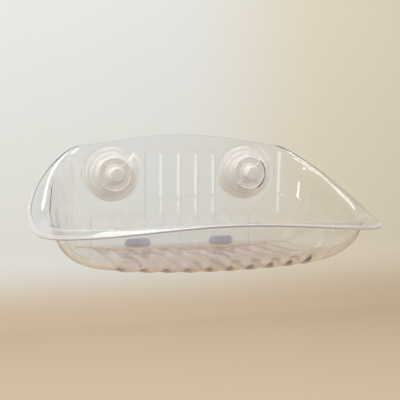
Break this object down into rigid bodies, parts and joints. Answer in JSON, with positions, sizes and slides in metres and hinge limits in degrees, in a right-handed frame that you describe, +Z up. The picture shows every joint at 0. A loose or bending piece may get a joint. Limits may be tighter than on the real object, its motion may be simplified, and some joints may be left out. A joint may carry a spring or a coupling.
{
  "type": "window mounted cat perch",
  "caption": "Clear one-piece cat perch tray with a high fluted back panel, held on a window by twist-lock suction cups and steadied by soft rest pads.",
  "frame": {"origin": "on the window's glass, midway between the centres of the two suction cups", "axes": "+X along the window, to the right seen from the room; +Y out of the room, into the glass; +Z up"},
  "size_m": [0.5436, 0.3039, 0.203],
  "materials": {
    "clear_shell": "clear, polished",
    "cup_rubber": "soft, translucent, slightly frosted",
    "stud_plastic": "moulded thread",
    "washer_plastic": "smooth, clear",
    "knob_plastic": "frosted translucent",
    "pad_foam": "matt soft foam",
    "pad_adhesive": "thin clear adhesive"
  },
  "bodies": {
    "root": {"shell": "clear_shell", "left_washer": "washer_plastic", "right_washer": "washer_plastic", "left_pad": "pad_foam", "left_pad_tape": "pad_adhesive", "right_pad": "pad_foam", "right_pad_tape": "pad_adhesive"},
    "left_stud_body": {"left_stud": "stud_plastic", "left_cup": "cup_rubber"},
    "left_knob_body": {"left_knob": "knob_plastic"},
    "right_stud_body": {"right_stud": "stud_plastic", "right_cup": "cup_rubber"},
    "right_knob_body": {"right_knob": "knob_plastic"}
  },
  "joints": [
    {"name": "left_knob_turn", "type": "hinge", "parent": "root", "child": "left_knob_body", "pos_m": [-0.1175, -0.0248, 0], "axis": [0, -1, 0], "range_deg": [0, 480]},
    {"name": "left_stud_slide", "type": "slide", "parent": "root", "child": "left_stud_body", "axis": [0, 1, 0], "range_m": [0, 0.004], "deforming": ["left_cup"]},
    {"name": "right_knob_turn", "type": "hinge", "parent": "root", "child": "right_knob_body", "pos_m": [0.1175, -0.0248, 0], "axis": [0, -1, 0], "range_deg": [0, 480]},
    {"name": "right_stud_slide", "type": "slide", "parent": "root", "child": "right_stud_body", "axis": [0, 1, 0], "range_m": [0, 0.004], "deforming": ["right_cup"]}
  ],
  "couplings": [
    {"joint": "left_knob_turn", "follows": "left_stud_slide", "rad_per_m": 2094.4},
    {"joint": "right_knob_turn", "follows": "right_stud_slide", "rad_per_m": 2094.4}
  ]
}
